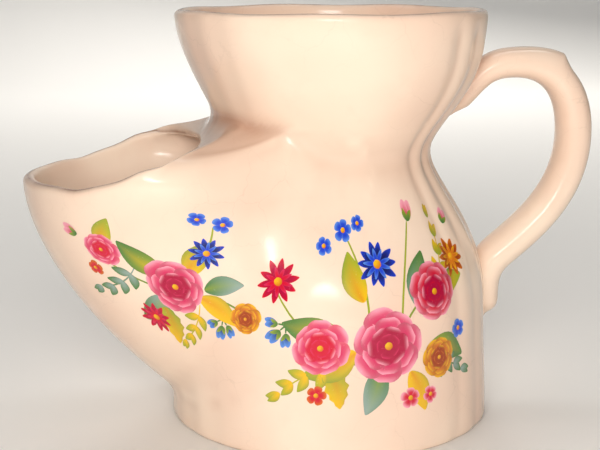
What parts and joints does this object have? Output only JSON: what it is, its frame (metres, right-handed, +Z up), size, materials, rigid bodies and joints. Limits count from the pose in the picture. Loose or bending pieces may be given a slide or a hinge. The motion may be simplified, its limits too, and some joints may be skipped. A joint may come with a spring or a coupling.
{
  "type": "shaving scuttle",
  "caption": "Waisted glazed shaving mug with a wide upswept brush spout, a loop handle opposite and a pierced soap tray seated in its open bowl, standing on a flat foot ring.",
  "frame": {"origin": "on the standing plane, under the middle of the bounding box; the mug's turning axis is the line x = 4.5 mm, y = 0", "axes": "+Z up, -X towards the brush spout, +X towards the handle, Y across; the picture looks along +Y"},
  "size_m": [0.1545, 0.087, 0.11],
  "materials": {
    "body_glaze": "ivory earthenware under a clear gloss glaze",
    "handle_glaze": "ivory earthenware under a clear gloss glaze",
    "tray_glaze": "ivory earthenware under a thinner gloss glaze"
  },
  "bodies": {
    "root": {"body": "body_glaze", "handle": "handle_glaze", "soap_tray": "tray_glaze"}
  },
  "joints": []
}
